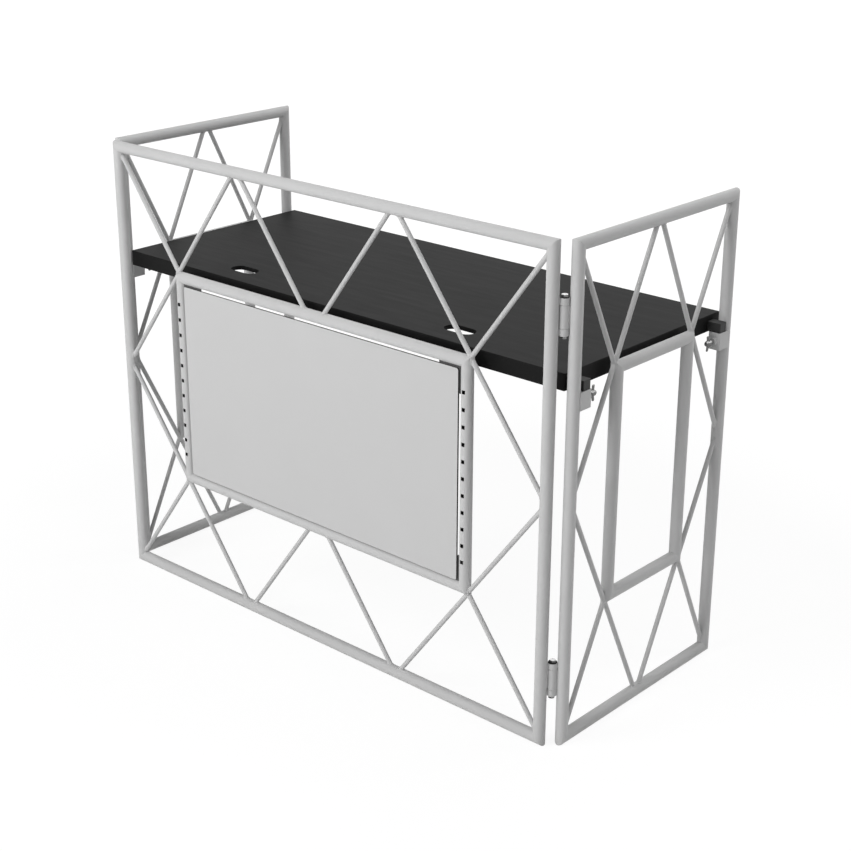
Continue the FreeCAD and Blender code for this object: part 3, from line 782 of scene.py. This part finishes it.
def washer_mesh():
    """Washer with softened rims, standing on z = 0."""
    bm = bmesh.new()
    bore_rim = WASHER_BORE_R + WASHER_BORE_SOFT
    rim = WASHER_R - WASHER_SOFT
    outline = [
        (WASHER_BORE_R, WASHER_BORE_SOFT),
        (WASHER_BORE_R, WASHER_THICK - WASHER_BORE_SOFT),
        (bore_rim, WASHER_THICK),
        (rim, WASHER_THICK),
        (WASHER_R - WASHER_EASE, WASHER_THICK - WASHER_EASE),
        (WASHER_R, WASHER_THICK - WASHER_SOFT),
        (WASHER_R, WASHER_SOFT),
        (WASHER_R - WASHER_EASE, WASHER_EASE),
        (rim, 0),
        (bore_rim, 0),
    ]
    join_rings(bm, [round_ring(bm, radius, height) for radius, height in outline], loop=True)
    return finished_mesh(bm, "hinge_washer")


def corner_plates():
    """Flat plates in the corners of the screen frame, seated on its tubes behind the panel."""
    low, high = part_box("screen_corner_plates")
    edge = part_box("screen_panel")[1]
    edge_rise = edge.z - MID_Z
    bm = bmesh.new()
    for across in (1, -1):
        for up in (1, -1):
            rings = []
            for y in (low.y, high.y):
                chord = math.sqrt(TUBE_R ** 2 - (y - FRONT_Y) ** 2)
                side = SCREEN_HALF - chord
                top = SCREEN_RISE - chord
                outline = [(side, top), (edge.x - PLATE_LEG, top), (edge.x - PLATE_LEG, edge_rise),
                           (edge.x, edge_rise - PLATE_LEG), (side, edge_rise - PLATE_LEG)]
                rings.append([bm.verts.new((across * x, y, MID_Z + up * z)) for x, z in outline])
            join_rings(bm, rings)
            for ring in rings:
                bm.faces.new(ring)
    bmesh.ops.bevel(bm, geom=bm.edges[:], offset=PLATE_SOFT, segments=2, affect="EDGES")
    name = "screen_corner_plates_formed"
    # In the silver finish these plates get painted shade, dark grey
    piece = add_piece(name, finished_mesh(bm, name), SILVER)
    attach(piece, "front_frame")
    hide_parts("screen_corner_plates")


def hinge_fasteners():
    """Bolts, nuts and washers of the four hinges, each kind one piece."""
    spread = {"Width": 2 * HINGE_X, "Height": 2 * BARREL_RISE, "Depth Place": HINGE_Y}
    for name, mesh, finish, slot, level in (
            ("hinge_bolts_turned", bolt_mesh(), BOLT_STEEL, "zinc_steel", BARREL_HALF + WASHER_THICK),
            ("hinge_nuts_turned", nut_mesh(), BOLT_STEEL, "zinc_steel", -BARREL_HALF),
            ("hinge_washers_turned", washer_mesh(), WASHER_BLACK, "black_washer", BARREL_HALF)):
        piece = FOUR_CORNERS.make(name, mesh, finish, {**spread, "Middle Height": MID_Z + level})
        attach(piece, "front_frame")
        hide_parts(name.replace("_turned", ""))


def ear_rings(bm, sign, steps=14, around=16):
    """Oval sections of one ear, from inside the hub to its rounded tip."""
    rings = []
    for step in range(steps + 1):
        part = step / steps
        across = sign * (EAR_ROOT + (EAR_TIP - EAR_ROOT) * part)
        along = EAR_LEVEL + EAR_LEAN * part
        past_round = max(0.0, (part - EAR_ROUND_FROM) / EAR_ROUND_SPAN)
        closing = math.sqrt(max(0.0, 1 - past_round ** 2)) * (1 - EAR_TIP_SHARE) + EAR_TIP_SHARE
        width = (EAR_WIDTH - EAR_WAIST * math.sin(math.pi * part)) * closing
        thick = (EAR_THICK - EAR_THINNING * part) * closing
        ring = []
        for i in range(around):
            angle = math.tau * i / around
            ring.append(bm.verts.new((thick * math.cos(angle), across, along + width * math.sin(angle))))
        rings.append(ring)
    return rings


def wing_head_mesh():
    """Cast head of a wing screw along Z: a turned hub with two ears, melted together."""
    bm = bmesh.new()
    revolve(bm, HUB_OUTLINE, HUB_STEPS)
    for sign in (1, -1):
        rings = ear_rings(bm, sign)
        join_rings(bm, rings)
        bm.faces.new(rings[0])
        bm.faces.new(rings[-1])
    source = add_piece("wing_head_source", finished_mesh(bm, "wing_head_source"))
    melt = source.modifiers.new("melt", "REMESH")
    melt.mode = "VOXEL"
    melt.voxel_size = MELT_SIZE
    melt.use_smooth_shade = True
    soften = source.modifiers.new("soften", "SMOOTH")
    soften.iterations = MELT_SOFTENING
    mesh = evaluated_mesh(source, "wing_head")
    bpy.data.objects.remove(source)
    return mesh


def wing_screws():
    """A cast head on a threaded shank in place of each packed wing screw."""
    head = wing_head_mesh()
    for node in [name for name in nodes if name.endswith("_wing_screw")]:
        low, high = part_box(node)
        bm = bmesh.new()
        bm.from_mesh(head)
        threaded_shank(bm, SCREW_TIP, SCREW_NECK + SCREW_LAP)
        mesh = finished_mesh(bm, node + "_cast", smooth_angle=60)
        rear = "_rear_" in node
        start = WING_Y + (WING_HALF if rear else -WING_HALF)
        heading = math.radians(90 if rear else -90)
        seat = Matrix.Translation(((low.x + high.x) / 2, start, (low.z + high.z) / 2))
        mesh.transform(seat @ Matrix.Rotation(heading, 4, "X"))
        piece = add_piece(node + "_cast", mesh, SCREW_STEEL)
        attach(piece, node.replace("_wing_screw", "_screw"))
        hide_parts(node)


lattice_welds()
hinge_welds()
corner_plates()
hinge_fasteners()
wing_screws()


# White paper floor: it glows where it is seen, and less near the booth, so that a faint shadow stays
FLOOR_HALF = 30.0
FLOOR_DROP = 0.2 * MM
PAPER_GLOW = 1.06
SHADOW_REACH = 3.0
SHADOW_INNER = 0.4
SHADOW_GLOW_SHARE = 0.86

# Soft lamps as (name, degrees from straight ahead, degrees up, width, watts)
LAMPS = [
    ("front_key", 0, 8, 3.0, 88.0),
    ("high_left", -20, 40, 3.0, 164.0),
    ("right_high", 85, 55, 3.0, 56.0),
    ("rear_right", 135, 30, 3.0, 72.0),
    ("rear_high", 180, 60, 3.0, 80.0),
]
LAMP_REACH = 6.0
LAMP_AIM = Vector((0, 0, 0.55))
AMBIENT = 0.05

# Camera fitted to the square photograph: lens and shift in pixels, place in metres, turn in degrees
PHOTO_SIDE = 851
PHOTO_LENS = 1664.95
PHOTO_SHIFT = (5.28, -23.06)
SENSOR_WIDTH = 36.0
CAMERA_PLACE = (2.6183, -2.8293, 2.0)
CAMERA_TURN = (69.354, -0.087, 42.172)


def studio_floor():
    mesh = bpy.data.meshes.new("studio_floor")
    signs = ((-1, -1), (1, -1), (1, 1), (-1, 1))
    corners = [(across * FLOOR_HALF, back * FLOOR_HALF, -FLOOR_DROP) for across, back in signs]
    mesh.from_pydata(corners, [], [(0, 1, 2, 3)])
    finish = Finish("studio_paper")
    x, y = finish.axes(finish.place())[:2]
    from_booth = distance(x, y) / SHADOW_REACH
    even = finish.ramp(from_booth, (SHADOW_INNER, SHADOW_GLOW_SHARE), (1.0, 1.0))
    paper = finish.node("ShaderNodeBsdfDiffuse", {}, {"Color": grey(0.9)})
    glow = finish.node("ShaderNodeEmission", {}, {"Color": grey(1.0), "Strength": PAPER_GLOW})
    mixed = finish.node("ShaderNodeMixShader", {}, {0: finish.seen() * even, 1: paper, 2: glow})
    finish.node("ShaderNodeOutputMaterial", {}, {"Surface": mixed})
    add_piece("studio_floor", mesh, finish.material)


def studio_light():
    world = bpy.data.worlds.new("studio")
    bpy.context.scene.world = world
    world.use_nodes = True
    sky = Tree(world.node_tree)
    level = AMBIENT + sky.seen() * (1 - AMBIENT)
    glow = sky.node("ShaderNodeBackground", {}, {"Color": grey(1.0), "Strength": level})
    sky.node("ShaderNodeOutputWorld", {}, {"Surface": glow})
    for name, turn, tilt, width, watts in LAMPS:
        lamp = bpy.data.lights.new(name, "AREA")
        lamp.shape = "DISK"
        lamp.size = width
        lamp.energy = watts
        stand = bpy.data.objects.new(name, lamp)
        around = math.radians(turn)
        up = math.radians(tilt)
        away = Vector((math.sin(around) * math.cos(up), -math.cos(around) * math.cos(up), math.sin(up)))
        stand.location = LAMP_AIM + away * LAMP_REACH
        stand.rotation_euler = away.to_track_quat("Z", "Y").to_euler()
        bpy.context.collection.objects.link(stand)


def photo_camera():
    lens = bpy.data.cameras.new("photo_view")
    lens.sensor_width = SENSOR_WIDTH
    lens.lens = SENSOR_WIDTH * PHOTO_LENS / PHOTO_SIDE
    lens.shift_x = PHOTO_SHIFT[0] / PHOTO_SIDE
    lens.shift_y = PHOTO_SHIFT[1] / PHOTO_SIDE
    camera = bpy.data.objects.new("photo_view", lens)
    camera.location = CAMERA_PLACE
    camera.rotation_euler = [math.radians(angle) for angle in CAMERA_TURN]
    bpy.context.collection.objects.link(camera)
    bpy.context.scene.camera = camera


studio_floor()
studio_light()
photo_camera()
bpy.context.scene.view_settings.view_transform = "Standard"
